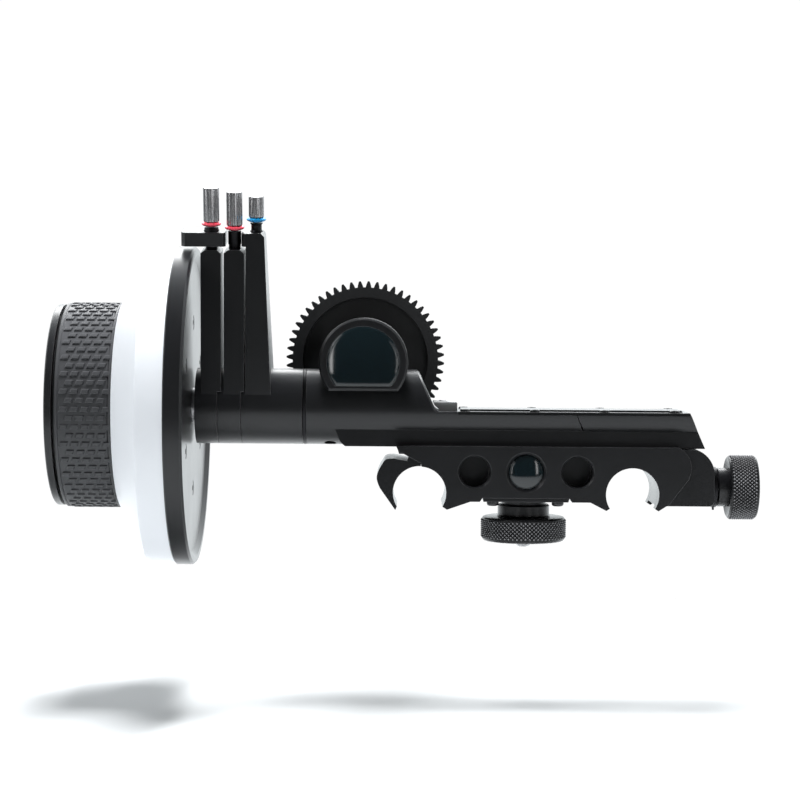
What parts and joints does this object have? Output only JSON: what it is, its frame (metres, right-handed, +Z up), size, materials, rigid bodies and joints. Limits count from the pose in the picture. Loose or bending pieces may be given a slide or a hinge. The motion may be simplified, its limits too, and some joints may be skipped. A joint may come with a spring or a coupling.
{
  "type": "follow focus unit",
  "caption": "Handwheel, gear train and lens gear on a carriage that slides on a clamp bridge for a pair of support rods, with adjustable stop arms.",
  "frame": {"origin": "half way between the axes of the two support rods, at their height", "axes": "+X along the handwheel shaft away from the handwheel, +Y along the rods towards the drive gear, +Z up"},
  "size_m": [0.1998, 0.0908, 0.1075],
  "materials": {
    "black_anodised": "satin black anodised, bead blasted",
    "dark_steel": "blackened steel",
    "steel": "ground steel",
    "brushed_aluminium": "turned, clear anodised",
    "grip_rubber": "matte moulded rubber",
    "scale_white": "translucent white, matte",
    "lens_gloss": "domed gloss black",
    "ring_red": "red moulded rubber",
    "ring_blue": "blue moulded rubber",
    "bronze": "machined bronze",
    "gear_black": "black acetal, machined teeth"
  },
  "bodies": {
    "bridge": {"bridge_body": "black_anodised", "rod_hook": "black_anodised", "hook_screws": "dark_steel", "bridge_lens": "lens_gloss", "base_plate": "black_anodised", "base_plate_screws": "dark_steel"},
    "rod_pusher": {"rod_pusher": "black_anodised", "pusher_dowels": "steel"},
    "clamp_knob": {"clamp_knob": "black_anodised", "clamp_screw": "steel", "spring_washer": "dark_steel"},
    "lock_shoe": {"lock_shoe": "bronze", "lock_stud": "steel"},
    "lock_knob": {"lock_knob": "black_anodised"},
    "carriage": {"housing": "black_anodised", "end_cover": "black_anodised", "top_plate": "black_anodised", "top_screws": "dark_steel", "stop_block": "brushed_aluminium", "stop_block_screw": "steel", "boss_lens": "lens_gloss", "set_screw": "dark_steel", "case_cover": "black_anodised", "case_screws": "dark_steel", "shaft_bearings": "steel", "drive_bearings": "steel", "cross_bushes": "bronze", "stop_tube": "black_anodised", "joint_ring": "black_anodised", "stem_c": "dark_steel", "pin_spring_c": "steel"},
    "pin_c": {"pin_c": "brushed_aluminium", "o_ring_c": "ring_blue"},
    "arm_a": {"arm_a": "black_anodised", "pointer": "black_anodised", "stem_a": "dark_steel", "pin_spring_a": "steel"},
    "pin_a": {"pin_a": "brushed_aluminium", "o_ring_a": "ring_red"},
    "arm_b": {"arm_b": "black_anodised", "stem_b": "dark_steel", "pin_spring_b": "steel"},
    "pin_b": {"pin_b": "brushed_aluminium", "o_ring_b": "ring_red"},
    "handwheel": {"wheel_shaft": "steel", "wheel_drum": "black_anodised", "face_plate": "black_anodised", "wheel_bolt": "dark_steel", "grip_sleeve": "grip_rubber", "marking_disc": "scale_white", "disc_flange": "black_anodised", "wheel_screws": "dark_steel", "input_mitre": "steel"},
    "cross_shaft": {"cross_shaft": "steel", "cross_mitre": "steel", "cross_spur": "steel"},
    "drive_shaft": {"drive_shaft": "steel", "driven_spur": "steel", "drive_gear": "gear_black", "gear_screw": "dark_steel"}
  },
  "joints": [
    {"name": "carriage_slide", "type": "slide", "parent": "bridge", "child": "carriage", "axis": [1, 0, 0], "range_m": [-0.024, 0.024]},
    {"name": "handwheel_turn", "type": "hinge", "parent": "carriage", "child": "handwheel", "pos_m": [0, 0, 0.0237], "axis": [1, 0, 0], "continuous": true},
    {"name": "cross_shaft_turn", "type": "hinge", "parent": "carriage", "child": "cross_shaft", "pos_m": [-0.046, 0, 0.0237], "axis": [0, 1, 0], "continuous": true},
    {"name": "drive_gear_turn", "type": "hinge", "parent": "carriage", "child": "drive_shaft", "pos_m": [-0.046, 0, 0.0367], "axis": [0, 1, 0], "continuous": true},
    {"name": "arm_a_turn", "type": "hinge", "parent": "carriage", "child": "arm_a", "pos_m": [0, 0, 0.0237], "axis": [1, 0, 0], "range_deg": [-170, 170]},
    {"name": "arm_b_turn", "type": "hinge", "parent": "carriage", "child": "arm_b", "pos_m": [0, 0, 0.0237], "axis": [1, 0, 0], "range_deg": [-170, 170]},
    {"name": "pin_a_pull", "type": "slide", "parent": "arm_a", "child": "pin_a", "axis": [0, -0.1994, 0.9799], "range_m": [0, 0.0025], "stiffness_N_per_m": 900, "springref_m": -0.002, "deforming": ["pin_spring_a"]},
    {"name": "pin_b_pull", "type": "slide", "parent": "arm_b", "child": "pin_b", "axis": [0, -0.1994, 0.9799], "range_m": [0, 0.0025], "stiffness_N_per_m": 900, "springref_m": -0.002, "deforming": ["pin_spring_b"]},
    {"name": "pin_c_pull", "type": "slide", "parent": "carriage", "child": "pin_c", "axis": [0, -0.1994, 0.9799], "range_m": [0, 0.0025], "stiffness_N_per_m": 900, "springref_m": -0.002, "deforming": ["pin_spring_c"]},
    {"name": "lock_knob_turn", "type": "hinge", "parent": "bridge", "child": "lock_knob", "pos_m": [0, 0, 0], "axis": [0, 0, 1], "range_deg": [-360, 0]},
    {"name": "lock_shoe_lift", "type": "slide", "parent": "bridge", "child": "lock_shoe", "axis": [0, 0, 1], "range_m": [0, 0.0007]},
    {"name": "rod_pusher_slide", "type": "slide", "parent": "bridge", "child": "rod_pusher", "axis": [1, 0, 0], "range_m": [0, 0.002]},
    {"name": "clamp_knob_turn", "type": "hinge", "parent": "rod_pusher", "child": "clamp_knob", "pos_m": [0.0583, 0, 0.0014], "axis": [1, 0, 0], "range_deg": [-720, 0]}
  ],
  "couplings": [
    {"joint": "cross_shaft_turn", "follows": "handwheel_turn", "ratio": -1},
    {"joint": "drive_gear_turn", "follows": "handwheel_turn", "ratio": 1},
    {"joint": "lock_knob_turn", "follows": "lock_shoe_lift", "rad_per_m": -8975},
    {"joint": "clamp_knob_turn", "follows": "rod_pusher_slide", "rad_per_m": -6283}
  ]
}
